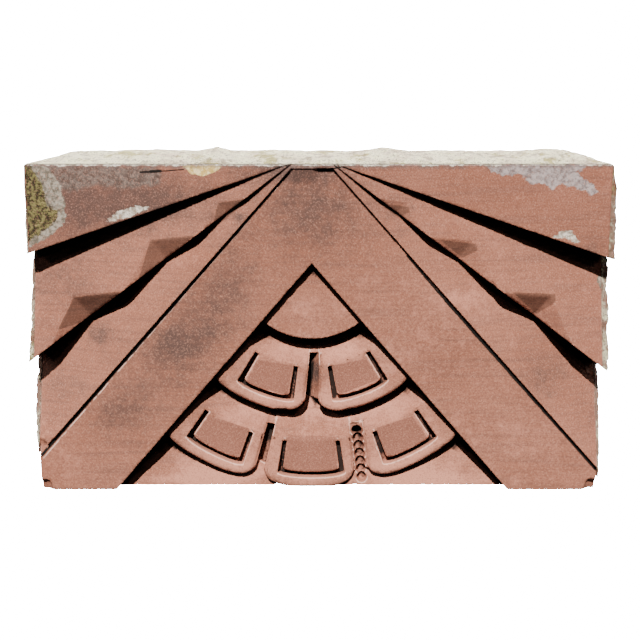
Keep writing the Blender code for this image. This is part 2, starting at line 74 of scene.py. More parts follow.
# Camera, set from where the stone's arrises lie in the photograph
FRAME_SIZE = 640
CAMERA_DISTANCE = 1.8
CAMERA_ELEVATION = math.radians(10.0)
CAMERA_TARGET = Vector((0.002, FRONT_Y, TOP_Z - 0.2155))
CAMERA_LENS = 72.75
SENSOR_WIDTH = 36.0
CAMERA_BACK = Vector((0.0, -math.cos(CAMERA_ELEVATION), math.sin(CAMERA_ELEVATION)))
CAMERA_UP = Vector((0.0, math.sin(CAMERA_ELEVATION), math.cos(CAMERA_ELEVATION)))
CAMERA_PLACE = CAMERA_TARGET + CAMERA_DISTANCE * CAMERA_BACK
FOCAL_PIXELS = CAMERA_LENS / SENSOR_WIDTH * FRAME_SIZE

# Light: the sun's direction and softness, a dim sky, and soft lights for the hidden sides as (x, y, z, watts)
SUN_TO = Vector((-0.13, -1.0, 0.90))
SUN_STRENGTH = 8.5
SUN_ANGLE = math.radians(0.8)
SUN_COLOUR = (1.0, 0.97, 0.93)
SKY_COLOUR = (0.95, 0.97, 1.0, 1.0)
SKY_STRENGTH = 0.06
WHITE_STRENGTH = 40.0
FLOOR_SIZE = 30.0
FLOOR_COLOUR = (0.9, 0.9, 0.9, 1.0)
BACK_LIGHTS = (
    (-2.6, 1.2, 1.2, 75.0), (2.6, 1.2, 1.2, 75.0), (0.0, 2.6, 1.6, 70.0), (0.0, 0.9, 2.8, 240.0),
)
BACK_LIGHT_SIZE = 1.8
BACK_LIGHT_AIM = 0.25

# Light comes from a cone round this direction, and what it can't reach is painted near black as shade
LIGHT_CONE_TO = Vector((-0.10, -1.0, 0.80)).normalized()
LIGHT_CONE_SPREAD = math.radians(42.0)
SHADE_RAYS = 12
SHADE_REACH = 0.12
SHADE_LIFT = 0.0006
BROKEN_CORNER_X = 0.36
BROKEN_CORNER_Z = 0.09

# Fine meshes: the spacing of their points, in front and on the plainer hidden sides, what counts as flat or
# as one point in the coarse mesh, how far the points shift from a plain grid, and the triangulation's options
FRONT_SPACING = 0.0026
HIDDEN_SPACING = 0.012
MORTAR_SPACING = 0.0030
FLAT_ANGLE = math.radians(0.6)
MERGE_DISTANCE = 0.000004
GRID_SHIFT = 0.22
GRID_SHIFT_SCALE = 900.0
NOISE_SEED = 1
BORDER_GAP = 0.55
CDT_INSIDE = 1
CDT_EPSILON = 1e-9

# Relief of the stone as (height, noise scale), its beds with their scale along each axis, and the crusts
STONE_RELIEF = ((0.00035, 21.0), (0.00022, 75.0), (0.00012, 260.0))
BED_RELIEF = 0.00016
BED_SCALE = Vector((14.0, 14.0, 190.0))
MOSS_RELIEF = (0.0016, 330.0)
LIME_RELIEF = (0.0006, 160.0)
HIDDEN_RELIEF_SHARE = 0.15

# Wear of the arrises
ARRIS_ANGLE = math.radians(45.0)
ARRIS_STEP = 0.0015
WEAR_WIDTH = 0.0026
CHIP_WIDTH = 0.009
CHIP_START = 0.58
WEAR_DEPTH = 0.42
OUTER_WEAR_SHARE = 0.35
OUTER_MARGIN = 0.012
BACK_WEAR_MARGIN = 0.03

# The narrow strip over the V band, the part of it kept free of painted shade, and how its left half runs into
# the band
STRIP_HEIGHT = 0.006
STRIP_STEP = 0.007
STRIP_UNSHADED_LEFT = -0.05
STRIP_UNSHADED_RIGHT = -0.002
STRIP_UNSHADED_HEIGHT = 0.012
FILL_LEFT = -0.040
FILL_RUN = 0.022
FILL_SHARE = 0.78
FILL_FADE_LEFT = 0.006
FILL_FADE_RIGHT = 0.008

# Mortar's lumps, pits and crumbs as (depth, noise scale), and the share of its thickness that they may take
MORTAR_LUMPS = (0.0034, 45.0)
MORTAR_PITS = (0.0040, 120.0)
MORTAR_CRUMBS = (0.0012, 330.0)
MORTAR_SHARE = 0.6
SIDE_TAPER = 0.006

# Linear colours. A pair is a dark and a light one.
SHADE_AND_CRACK_BLACK = (0.006, 0.004, 0.003)
NOTCH_SHADE = (0.060, 0.030, 0.020)
HIGHLIGHT_STONE = (0.90, 0.58, 0.47)
STONE_RED = (0.275, 0.104, 0.063)
STONE_PINK = (0.330, 0.130, 0.082)
STONE_PALE = (0.410, 0.166, 0.106)
DARK_BEDS = (0.190, 0.085, 0.062)
FINE_DARK_BEDS = (0.180, 0.078, 0.055)
MOTTLED_DARK_AND_SHADE = (0.100, 0.056, 0.045)
MOTTLED_LIGHT_AND_LIT = (0.555, 0.232, 0.156)
INSET_SHADE = (0.240, 0.094, 0.062)
WORN_ARRIS_HIGHLIGHT = (0.820, 0.500, 0.400)
LIME_TRACE = (0.55, 0.47, 0.36)
HIDDEN_DIRT = (0.100, 0.060, 0.047)
TOP_EDGE_DARK = (0.130, 0.100, 0.090)
EDGE_LIME = (0.32, 0.26, 0.20), (0.85, 0.78, 0.66)
DARK_SPECK = (0.08, 0.045, 0.035)
LIGHT_GRAIN = (0.56, 0.27, 0.19)
DARK_GRAIN = (0.11, 0.05, 0.04)
LIME_CREAM = (0.76, 0.62, 0.45), (0.96, 0.88, 0.62)
LIME_BRIGHT = (0.96, 0.89, 0.60)
LIME_MOSS = (0.36, 0.29, 0.07)
LIME_BROWN = (0.27, 0.20, 0.14)
LIME_CRUMB = (0.20, 0.14, 0.08)
LIME_PIT = (0.09, 0.07, 0.05)
STONE_DUST = (0.20, 0.085, 0.060), (0.40, 0.19, 0.14)

# Looks of the painted places, laid on in this order: how far the border wavers and how soft it is, how much
# it covers, the speckle's values for its dark and light colour, and these colours
PATINA_LOOKS = (
    ("grey_weathering", 1.0, 0.22, 0.85, 0.38, 0.62, (0.062, 0.050, 0.043), (0.180, 0.142, 0.120)),
    ("grey_smear", 1.0, 0.06, 0.90, 0.36, 0.62, (0.17, 0.145, 0.145), (0.46, 0.40, 0.39)),
    ("cement", 1.0, 0.06, 1.00, 0.40, 0.60, (0.13, 0.115, 0.085), (0.36, 0.32, 0.26)),
    ("white_lime", 1.0, 0.05, 1.00, 0.40, 0.60, (0.30, 0.25, 0.19), (0.78, 0.72, 0.62)),
    ("yellow_lime", 0.5, 0.04, 1.00, 0.40, 0.60, (0.60, 0.40, 0.11), (0.95, 0.76, 0.40)),
    ("moss", 1.0, 0.10, 1.00, 0.42, 0.58, (0.022, 0.020, 0.008), (0.200, 0.180, 0.062)),
)

# Size of a pixel of the photograph on the carved face
PIXEL = 0.00139

# Outlines of the patina on the carved face, as pixels of the photograph's frame
MOSS = (
    (22, 164), (31, 165), (33, 172), (41, 183), (46, 197), (47, 206), (58, 210), (57, 218),
    (49, 228), (35, 237), (24, 246),
)
CEMENT_RIM = (
    (22, 164), (40, 164), (52, 172), (60, 186), (66, 202), (65, 221), (54, 233), (38, 243), (24, 249),
)
GREY_WEATHERING = (
    (30, 164), (60, 165), (110, 166), (155, 167), (163, 174), (158, 184), (128, 189), (96, 185),
    (70, 191), (48, 190),
)
YELLOW_LUMP = ((182, 163), (184, 168), (192, 174), (202, 177), (212, 173), (221, 168), (223, 163))
WHITE_PATCH_LEFT = ((105, 222), (118, 211), (135, 206), (150, 207), (138, 214), (122, 219))
GREY_SMEAR = (
    (484, 163), (492, 172), (506, 176), (520, 174), (530, 184), (545, 183), (552, 190), (562, 184),
    (578, 188), (592, 195), (601, 193), (594, 186), (577, 173), (588, 165), (588, 162),
)
WHITE_PATCH_RIGHT = ((552, 238), (560, 232), (570, 231), (580, 243), (566, 240))
CEMENT_CORNER = ((598, 276), (610, 276), (610, 292), (600, 290))

# Softly bounded places, as (pixel x, pixel y, radius across, radius down, strength), dark where the strength
# is above 0 and light where it is below. The dark ones are mostly the stone's own darker tone, and a few in
# the deep corners beside the scales are painted shade. Most light ones, on the third bands, the pie, the
# scales' heads and rims and the sloping ground at the bottom, are painted light where those faces turn up to
# the light.
MOTTLING_AND_LIGHT = (
    (80, 205, 90, 44, 0.80),
    (165, 200, 60, 26, 0.50),
    (250, 172, 40, 12, 0.35),
    (312, 205, 56, 56, 0.72),
    (300, 172, 30, 10, 0.35),
    (232, 270, 30, 40, 0.40),
    (208, 312, 42, 42, 0.50),
    (186, 345, 42, 32, 0.42),
    (150, 380, 50, 36, 0.36),
    (172, 346, 24, 16, 0.28),
    (122, 411, 38, 18, 0.42),
    (110, 430, 34, 24, 0.25),
    (100, 335, 16, 14, 0.65),
    (62, 388, 18, 20, 0.45),
    (90, 300, 30, 14, 0.40),
    (545, 378, 26, 26, 0.50),
    (590, 410, 18, 22, 0.35),
    (400, 215, 26, 30, 0.26),
    (270, 480, 14, 6, 0.35),
    (236, 402, 14, 8, 0.40),
    (205, 410, 12, 10, 0.45),
    (596, 245, 16, 14, 0.35),
    (60, 440, 30, 40, -0.25),
    (140, 300, 60, 22, -0.20),
    (55, 280, 40, 22, 0.45),
    (190, 260, 40, 12, -0.30),
    (470, 300, 60, 22, -0.30),
    (520, 440, 50, 40, -0.25),
    (420, 330, 60, 60, -0.18),
    (313, 310, 40, 30, -0.35),
    (310, 350, 70, 14, -0.55),
    (310, 405, 110, 12, -0.55),
    (220, 468, 40, 12, -0.55),
    (400, 470, 40, 12, -0.55),
    (200, 480, 60, 8, -0.70),
    (440, 480, 60, 8, -0.70),
    (262, 386, 38, 28, -0.75),
    (357, 388, 38, 28, -0.75),
    (222, 446, 42, 30, -0.75),
    (309, 462, 40, 30, -0.75),
    (406, 448, 44, 32, -0.75),
    (316, 372, 5, 16, 1.20),
    (238, 217, 7, 5, 0.60),
    (282, 168, 18, 9, 0.40),
)

# Facets of the notches in the two lower bands, painted darker as shade
NOTCH_SHADE_FACETS = (
    ((218, 203), (249, 199), (228, 217), (213, 228)),
    ((150, 240), (194, 235), (168, 262), (138, 282)),
    ((74, 298), (122, 291), (96, 318), (58, 330)),
    ((378, 203), (408, 207), (410, 212), (398, 217)),
    ((440, 240), (476, 244), (478, 250), (462, 258)),
    ((512, 292), (556, 294), (556, 302), (536, 314)),
)

# Sunk middles of the five scales, painted darker than the rims round them as shade
INSETS = (
    ((257.5, 359.5), (292.7, 366.2), (287.5, 395.8), (244.7, 383.6)),
    ((330.4, 366.2), (366.1, 359.0), (379.4, 379.5), (337.5, 395.8)),
    ((209.0, 416.2), (249.8, 428.5), (236.5, 462.0), (190.6, 439.7)),
    ((286.5, 434.6), (336.5, 436.6), (337.5, 473.4), (280.4, 471.3)),
    ((374.3, 428.5), (413.0, 416.2), (432.4, 444.8), (384.5, 463.2)),
)
OUTLINE_RAMP = 7.0

# Which outlines each painted place has, and how deep behind the carved face it reaches
PATINA = {
    "moss": (MOSS,),
    "cement": (CEMENT_RIM, CEMENT_CORNER),
    "grey_weathering": (GREY_WEATHERING,),
    "yellow_lime": (YELLOW_LUMP,),
    "white_lime": (WHITE_PATCH_LEFT, WHITE_PATCH_RIGHT),
    "grey_smear": (GREY_SMEAR,),
    "notch_shade": NOTCH_SHADE_FACETS,
    "inset_shade": INSETS,
}
PATINA_DEPTH = 0.02
PATINA_DEPTHS = {"notch_shade": 0.09, "inset_shade": 0.09, "cement": 0.05}
MOTTLING_AND_LIGHT_DEPTH = 0.08
CARVED_DEPTH = 0.05

# Thin dark lines: cracks in the stone, and painted shadow lines that widen the shadows under the V band's
# steps and the strip over it; and painted highlight lines beside them. As (pixel x, pixel y) from and to, the
# depth behind the carved face and the half width in pixels
CRACKS_AND_SHADOW_LINES = (
    ((141, 171.6), (153, 171), 0.0, 1.3),
    ((151, 171), (161, 170.6), 0.0, 2.0),
    ((158, 171), (184, 169), 0.0, 0.8),
    ((318, 170), (341, 167), 0.0, 0.9),
    ((286, 175.8), (250, 217.4), 0.007, 1.2),
    ((250, 217.4), (178, 300.5), 0.007, 2.1),
    ((178, 300.5), (42, 455.0), 0.007, 2.3),
    ((408, 255.5), (446, 299.9), 0.007, 1.6),
    ((446, 299.9), (596.5, 469.0), 0.007, 2.2),
    ((439, 291), (444, 296), 0.007, 1.6),
    ((523, 386), (527, 391), 0.007, 1.6),
)
HIGHLIGHT_LINES = (
    ((284.3, 179), (44, 457.5), 0.007, 0.9),
)


def add_camera():
    data = bpy.data.cameras.new("camera")
    data.lens = CAMERA_LENS
    data.sensor_width = SENSOR_WIDTH
    camera = bpy.data.objects.new("camera", data)
    camera.location = CAMERA_PLACE
    camera.rotation_euler = (math.pi / 2 - CAMERA_ELEVATION, 0.0, 0.0)
    bpy.context.scene.collection.objects.link(camera)
    bpy.context.scene.camera = camera


def seen_at(px, py, depth):
    """(x, z) at a pixel of the photograph's frame, on the plane at a depth behind the carved face."""
    half = FRAME_SIZE / 2
    ray = Vector((px - half, 0.0, 0.0)) / FOCAL_PIXELS + CAMERA_UP * (half - py) / FOCAL_PIXELS - CAMERA_BACK
    point = CAMERA_PLACE + ray * (FRONT_Y + depth - CAMERA_PLACE.y) / ray.y
    return Vector((point.x, point.z))


def pixel_of(point):
    """Where the camera sees a point, as a pixel of the photograph's frame."""
    seen = point - CAMERA_PLACE
    scale = FOCAL_PIXELS / -seen.dot(CAMERA_BACK)
    return Vector((FRAME_SIZE / 2 + seen.x * scale, FRAME_SIZE / 2 - seen.dot(CAMERA_UP) * scale))


def add_light():
    data = bpy.data.lights.new("sun", "SUN")
    data.energy = SUN_STRENGTH
    data.angle = SUN_ANGLE
    data.color = SUN_COLOUR
    sun = bpy.data.objects.new("sun", data)
    sun.rotation_euler = SUN_TO.to_track_quat("Z", "Y").to_euler()
    bpy.context.scene.collection.objects.link(sun)
    for x, y, z, power in BACK_LIGHTS:
        data = bpy.data.lights.new("back light", "AREA")
        data.energy = power
        data.size = BACK_LIGHT_SIZE
        light = bpy.data.objects.new("back light", data)
        light.location = (x, y, z)
        light.rotation_euler = Vector((x, y, z - BACK_LIGHT_AIM)).to_track_quat("Z", "Y").to_euler()
        bpy.context.scene.collection.objects.link(light)


def add_sky():
    """Dim sky that shows as a white backdrop."""
    world = bpy.data.worlds.new("sky")
    world.use_nodes = True
    tree = world.node_tree
    sky = tree.nodes["Background"]
    sky.inputs["Color"].default_value = SKY_COLOUR
    sky.inputs["Strength"].default_value = SKY_STRENGTH
    backdrop = tree.nodes.new("ShaderNodeBackground")
    backdrop.inputs["Strength"].default_value = WHITE_STRENGTH
    path = tree.nodes.new("ShaderNodeLightPath")
    mix = tree.nodes.new("ShaderNodeMixShader")
    tree.links.new(path.outputs["Is Camera Ray"], mix.inputs[0])
    tree.links.new(sky.outputs[0], mix.inputs[1])
    tree.links.new(backdrop.outputs[0], mix.inputs[2])
    tree.links.new(mix.outputs[0], tree.nodes["World Output"].inputs["Surface"])
    bpy.context.scene.world = world


def add_floor():
    """Pale floor, as white as the backdrop."""
    bpy.ops.mesh.primitive_plane_add(size=FLOOR_SIZE)
    floor = bpy.context.object
    floor.name = "floor"
    floor.visible_diffuse = False
    floor.visible_glossy = False
    material = bpy.data.materials.new("pale floor")
    material.use_nodes = True
    shader = material.node_tree.nodes["Principled BSDF"]
    shader.inputs["Base Color"].default_value = FLOOR_COLOUR
    shader.inputs["Roughness"].default_value = 0.9
    shader.inputs["Emission Color"].default_value = (1.0, 1.0, 1.0, 1.0)
    shader.inputs["Emission Strength"].default_value = WHITE_STRENGTH
    floor.data.materials.append(material)
    floor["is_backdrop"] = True


class Nodes:
    """Shorthand for building a material's node tree."""

    def __init__(self, name):
        self.material = bpy.data.materials.new(name)
        self.material.use_nodes = True
        self.tree = self.material.node_tree
        self.shader = self.tree.nodes["Principled BSDF"]
        self.place = self.tree.nodes.new("ShaderNodeTexCoord").outputs["Object"]

    def put(self, socket, value):
        if isinstance(value, bpy.types.NodeSocket):
            self.tree.links.new(value, socket)
        elif isinstance(value, tuple) and len(value) == 3 and socket.type == "RGBA":
            socket.default_value = (*value, 1.0)
        else:
            socket.default_value = value

    def maths(self, operation, a, b=0.0, clamp=False):
        node = self.tree.nodes.new("ShaderNodeMath")
        node.operation = operation
        node.use_clamp = clamp
        self.put(node.inputs[0], a)
        self.put(node.inputs[1], b)
        return node.outputs[0]

    def noise(self, scale, detail=3.0, roughness=0.55, stretch=(1.0, 1.0, 1.0), move=(0.0, 0.0, 0.0)):
        mapping = self.tree.nodes.new("ShaderNodeMapping")
        self.put(mapping.inputs["Vector"], self.place)
        mapping.inputs["Scale"].default_value = stretch
        mapping.inputs["Location"].default_value = move
        node = self.tree.nodes.new("ShaderNodeTexNoise")
        self.put(node.inputs["Vector"], mapping.outputs[0])
        node.inputs["Scale"].default_value = scale
        node.inputs["Detail"].default_value = detail
        node.inputs["Roughness"].default_value = roughness
        return node.outputs["Fac"]

    def noise_colour(self, scale):
        node = self.tree.nodes.new("ShaderNodeTexNoise")
        self.put(node.inputs["Vector"], self.place)
        node.inputs["Scale"].default_value = scale
        return node.outputs["Color"]

    def cells(self, scale):
        node = self.tree.nodes.new("ShaderNodeTexVoronoi")
        self.put(node.inputs["Vector"], self.place)
        node.inputs["Scale"].default_value = scale
        return node.outputs["Distance"]

    def step(self, value, low, high):
        """0 below low, 1 above high and even between them."""
        node = self.tree.nodes.new("ShaderNodeMapRange")
        node.interpolation_type = "SMOOTHSTEP"
        self.put(node.inputs["Value"], value)
        node.inputs["From Min"].default_value = low
        node.inputs["From Max"].default_value = high
        return node.outputs["Result"]

    def mix(self, share, a, b):
        node = self.tree.nodes.new("ShaderNodeMix")
        node.data_type = "RGBA"
        self.put(node.inputs["Factor"], share)
        self.put(node.inputs[6], a)
        self.put(node.inputs[7], b)
        return node.outputs[2]

    def cover(self, colour, share, strength, top):
        """A colour with another one laid over it where share is 1, as strongly as strength."""
        return self.mix(self.maths("MULTIPLY", share, strength), colour, top)

    def two_tone(self, value, low, high, dark, light):
        """Dark where the value is below low, light where it is above high."""
        return self.mix(self.step(value, low, high), dark, light)

    def wavering(self, value, strength):
        """A noise turned into a shift to either side of 0."""
        return self.maths("MULTIPLY", self.maths("SUBTRACT", value, 0.5), strength)

    def vector(self, operation, a, b, output=0):
        node = self.tree.nodes.new("ShaderNodeVectorMath")
        node.operation = operation
        self.put(node.inputs[0], a)
        self.put(node.inputs["Scale"] if operation == "SCALE" else node.inputs[1], b)
        return node.outputs[output]

    def near_lines(self, flat_place, lines):
        """1 on any of the lines, on the carved side alone."""
        share = 0.0
        for start, end, depth, width in lines:
            near = self.near_line(flat_place, seen_at(*start, depth), seen_at(*end, depth), width * PIXEL)
            share = self.maths("MAXIMUM", share, near)
        return self.maths("MULTIPLY", share, self.painted("front"))

    def near_line(self, flat_place, start, end, width):
        """1 on a line between two points of the carved face, fading out at its width."""
        start, run = start.to_3d().xzy, (end - start).to_3d().xzy
        away = self.vector("SUBTRACT", flat_place, tuple(start))
        reach = self.vector("DOT_PRODUCT", away, tuple(run), 1)
        share = self.maths("DIVIDE", reach, run.length_squared, clamp=True)
        along = self.vector("SCALE", tuple(run), share)
        distance = self.vector("LENGTH", self.vector("SUBTRACT", away, along), (0.0, 0.0, 0.0), 1)
        return self.step(distance, width, width * 0.4)

    def height_above_floor(self):
        node = self.tree.nodes.new("ShaderNodeSeparateXYZ")
        self.put(node.inputs[0], self.place)
        return node.outputs["Z"]

    def painted(self, name):
        node = self.tree.nodes.new("ShaderNodeAttribute")
        node.attribute_name = name
        return node.outputs["Fac"]

    def ragged(self, name, wobble, edge=0.04):
        """A painted outline with a ragged, fairly sharp border."""
        return self.step(self.maths("ADD", self.painted(name), wobble), 0.5 - edge, 0.5 + edge)

    def bump(self, height, strength, distance):
        node = self.tree.nodes.new("ShaderNodeBump")
        node.inputs["Strength"].default_value = strength
        node.inputs["Distance"].default_value = distance
        self.put(node.inputs["Height"], height)
        self.put(self.shader.inputs["Normal"], node.outputs[0])

    def finish(self, colour, roughness):
        self.put(self.shader.inputs["Base Color"], colour)
        self.put(self.shader.inputs["Roughness"], roughness)
        self.shader.inputs["Specular IOR Level"].default_value = 0.25
        return self.material


def bare_stone(nodes, patchy, speckle, wobble):
    """Pinkish red stone with its beds, blotchy tone with painted light and shade in it, painted shade on the
    sunk insets and painted highlights on worn arrises that face up.
    """
    broad = nodes.noise(7.0, 4.0, 0.6)
    beds = nodes.noise(7.0, 5.0, 0.65, stretch=(1.0, 1.0, 14.0))
    fine_beds = nodes.noise(9.0, 4.0, 0.6, stretch=(1.0, 1.0, 42.0), move=(2.0, 5.0, 1.0))
    colour = nodes.two_tone(broad, 0.35, 0.68, STONE_RED, STONE_PINK)
    colour = nodes.cover(colour, nodes.step(patchy, 0.48, 0.72), 0.6, STONE_PALE)
    colour = nodes.cover(colour, nodes.step(beds, 0.50, 0.66), 0.45, DARK_BEDS)
    colour = nodes.cover(colour, nodes.step(fine_beds, 0.50, 0.62), 0.40, FINE_DARK_BEDS)
    # Blotchy tone of the stone, with painted light on faces that tilt up and painted shade in deep corners
    tone = nodes.maths("ADD", nodes.painted("tone_and_painted_light"), nodes.wavering(patchy, 1.25))
    tone = nodes.maths("ADD", tone, nodes.wavering(speckle, 0.9))
    colour = nodes.mix(nodes.step(tone, 0.0, 1.0), colour, MOTTLED_DARK_AND_SHADE)
    colour = nodes.mix(nodes.step(tone, 0.0, -0.9), colour, MOTTLED_LIGHT_AND_LIT)
    # Painted shade: the sunk insets are darker than the rims
    inset_shade_share = nodes.ragged("inset_shade", nodes.maths("MULTIPLY", wobble, 0.25), 0.05)
    colour = nodes.cover(colour, inset_shade_share, 0.85, INSET_SHADE)
    # Worn arrises painted light, a painted highlight only where they face up to the light
    return nodes.cover(colour, nodes.step(nodes.painted("arris"), 0.20, 0.80), 0.80, WORN_ARRIS_HIGHLIGHT)


def patina(nodes, colour, speckle, wobble):
    """The stone with the painted places laid on it, and the share of the last one, which is the moss."""
    for name, waver, softness, strength, low, high, dark, light in PATINA_LOOKS:
        place = nodes.ragged(name, nodes.maths("MULTIPLY", wobble, waver), softness)
        colour = nodes.cover(colour, place, strength, nodes.two_tone(speckle, low, high, dark, light))
    return colour, place


def hidden_sides(nodes, colour, speckle):
    """Traces of lime and dirt behind the carving."""
    lime = nodes.step(nodes.noise(8.0, 6.0, 0.72, move=(1.0, 6.0, 3.0)), 0.55, 0.60)
    lime = nodes.maths("MULTIPLY", lime, nodes.step(speckle, 0.36, 0.54))
    lime = nodes.maths("MULTIPLY", lime, nodes.painted("back"))
    colour = nodes.cover(colour, lime, 0.75, LIME_TRACE)
    darkening = nodes.step(nodes.noise(5.0, 5.0, 0.7, move=(7.0, 2.0, 4.0)), 0.50, 0.66)
    darkening = nodes.maths("MULTIPLY", darkening, nodes.painted("back"))
    return nodes.cover(colour, darkening, 0.55, HIDDEN_DIRT)


def top_edge(nodes, colour, speckle):
    """A grey, darker band just under the top arris, and lime that runs from the bed's mortar over the arris.
    """
    below_top = nodes.maths("SUBTRACT", TOP_Z, nodes.height_above_floor())
    ragged = nodes.wavering(nodes.noise(55.0, 5.0, 0.75), 0.022)
    dark_band = nodes.step(nodes.maths("SUBTRACT", below_top, ragged), 0.0075, 0.0020)
    dark_band = nodes.maths("SUBTRACT", dark_band, nodes.painted("back"), clamp=True)
    colour = nodes.cover(colour, dark_band, 0.65, TOP_EDGE_DARK)
    lime_depth = nodes.maths("SUBTRACT", below_top, nodes.maths("MULTIPLY", ragged, 0.8))
    lime = nodes.step(lime_depth, 0.0022, 0.0012)
    return nodes.mix(lime, colour, nodes.two_tone(speckle, 0.40, 0.60, *EDGE_LIME))


def stone_grains(nodes, colour, grain):
    """Dark specks, and light and dark grains."""
    colour = nodes.cover(colour, nodes.step(nodes.cells(420.0), 0.16, 0.05), 0.35, DARK_SPECK)
    colour = nodes.cover(colour, nodes.step(grain, 0.51, 0.66), 0.42, LIGHT_GRAIN)
    return nodes.cover(colour, nodes.step(grain, 0.49, 0.34), 0.42, DARK_GRAIN)


def shade_highlights_and_cracks(nodes, colour):
    """Painted shade where the light cone doesn't reach and on the notches' facets, painted highlight lines,
    and cracks with painted shadow lines along the steps.
    """
    ragged = nodes.wavering(nodes.noise(70.0), 0.25)
    # Painted shade: the stone turns near black where the light cone can't reach it
    painted_shade = nodes.step(nodes.maths("ADD", nodes.painted("unlit"), ragged), 0.45, 0.72)
    colour = nodes.cover(colour, painted_shade, 0.97, SHADE_AND_CRACK_BLACK)
    # Painted shade on the notches' facets
    darkening = nodes.ragged("notch_shade", nodes.maths("MULTIPLY", ragged, 0.5), 0.05)
    colour = nodes.cover(colour, darkening, 0.60, NOTCH_SHADE)
    wavy = nodes.vector("ADD", nodes.place, nodes.vector("SCALE", nodes.noise_colour(80.0), 0.0016))
    flat_place = nodes.vector("MULTIPLY", wavy, (1.0, 0.0, 1.0))
    broken = nodes.step(nodes.noise(70.0), 0.38, 0.54)
    # Painted highlight: a light line beside the V band's shadow line
    painted_highlight = nodes.maths("MULTIPLY", nodes.near_lines(flat_place, HIGHLIGHT_LINES), broken)
    colour = nodes.cover(colour, painted_highlight, 0.7, HIGHLIGHT_STONE)
    # Cracks, and painted shadow lines along the V band's steps and under the strip
    return nodes.mix(nodes.near_lines(flat_place, CRACKS_AND_SHADOW_LINES), colour, SHADE_AND_CRACK_BLACK)


def stone_height(nodes, grain, speckle, moss):
    """Height of the finest relief: the grain, the moss and the tooling of the hidden sides."""
    pores = nodes.maths("MULTIPLY", nodes.noise(320.0, 4.0, 0.7), 0.9)
    height = nodes.maths("ADD", nodes.maths("MULTIPLY", grain, 0.45), pores)
    height = nodes.maths("ADD", height, nodes.maths("MULTIPLY", moss, nodes.maths("MULTIPLY", speckle, 5.0)))
    tooling = nodes.noise(60.0, 2.0, 0.5, stretch=(1.0, 1.0, 0.12), move=(4.0, 0.0, 0.0))
    tooling = nodes.maths("MULTIPLY", tooling, nodes.painted("back"))
    return nodes.maths("ADD", height, nodes.maths("MULTIPLY", tooling, 3.0))


def sandstone():
    nodes = Nodes("weathered pink sandstone")
    patchy = nodes.noise(38.0, 4.0, 0.65)
    speckle = nodes.noise(160.0, 4.0, 0.7)
    grain = nodes.noise(480.0, 3.0, 0.75)
    wobble = nodes.wavering(nodes.noise(90.0, 5.0, 0.65), 0.9)
    colour = bare_stone(nodes, patchy, speckle, wobble)
    colour, moss = patina(nodes, colour, speckle, wobble)
    colour = hidden_sides(nodes, colour, speckle)
    colour = top_edge(nodes, colour, speckle)
    colour = stone_grains(nodes, colour, grain)
    colour = shade_highlights_and_cracks(nodes, colour)
    nodes.bump(stone_height(nodes, grain, speckle, moss), 0.8, 0.0010)
    return nodes.finish(colour, nodes.maths("ADD", nodes.maths("MULTIPLY", patchy, 0.12), 0.84))


def lime_mortar(name, stained):
    """Old crumbly lime. A share of it is stained with the colour of the stone."""
    nodes = Nodes(name)
    broad = nodes.noise(16.0, 4.0, 0.6)
    patches = nodes.noise(52.0, 4.0, 0.65, move=(9.0, 4.0, 7.0))
    crumbs = nodes.noise(240.0, 5.0, 0.75)
    colour = nodes.two_tone(broad, 0.35, 0.65, *LIME_CREAM)
    colour = nodes.mix(nodes.step(patches, 0.50, 0.42), colour, LIME_BRIGHT)
    stains = nodes.step(nodes.noise(24.0, 5.0, 0.75, move=(3.0, 1.0, 2.0)), 0.53, 0.62)
    colour = nodes.cover(colour, stains, 0.80, LIME_MOSS)
    colour = nodes.cover(colour, nodes.step(patches, 0.55, 0.62), 0.6, LIME_BROWN)
    colour = nodes.cover(colour, nodes.step(crumbs, 0.54, 0.62), 0.8, LIME_CRUMB)
    colour = nodes.mix(nodes.step(nodes.cells(300.0), 0.26, 0.10), colour, LIME_PIT)
    dusty = nodes.step(nodes.noise(34.0, 5.0, 0.7, move=(5.0, 2.0, 8.0)), 0.58, 0.46)
    colour = nodes.cover(colour, dusty, stained, nodes.two_tone(crumbs, 0.40, 0.60, *STONE_DUST))
    nodes.bump(nodes.maths("ADD", crumbs, nodes.noise(600.0, 3.0, 0.7)), 1.0, 0.0050)
    return nodes.finish(colour, nodes.maths("ADD", nodes.maths("MULTIPLY", crumbs, 0.1), 0.86))


def flattened(node):
    """The node's mesh with its flat faces whole again."""
    mesh = bmesh.new()
    mesh.from_mesh(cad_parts[node].data)
    bmesh.ops.remove_doubles(mesh, verts=mesh.verts, dist=MERGE_DISTANCE)
    bmesh.ops.dissolve_degenerate(mesh, edges=mesh.edges, dist=MERGE_DISTANCE)
    bmesh.ops.dissolve_limit(mesh, angle_limit=FLAT_ANGLE, verts=mesh.verts, edges=mesh.edges)
    mesh.normal_update()
    return mesh


def arris_tree(mesh):
    """KD tree of points along the mesh's convex arrises, with the direction that each one faces."""
    points = []
    for edge in mesh.edges:
        if len(edge.link_faces) != 2 or not edge.is_convex or edge.calc_face_angle(0.0) < ARRIS_ANGLE:
            continue
        start, end = (vertex.co for vertex in edge.verts)
        facing = (edge.link_faces[0].normal + edge.link_faces[1].normal).normalized()
        steps = max(1, math.ceil((end - start).length / ARRIS_STEP))
        points += [(start.lerp(end, step / steps), facing) for step in range(steps + 1)]
    tree = KDTree(len(points))
    for index, (point, facing) in enumerate(points):
        tree.insert(point, index)
    tree.balance()
    return tree, [facing for point, facing in points]


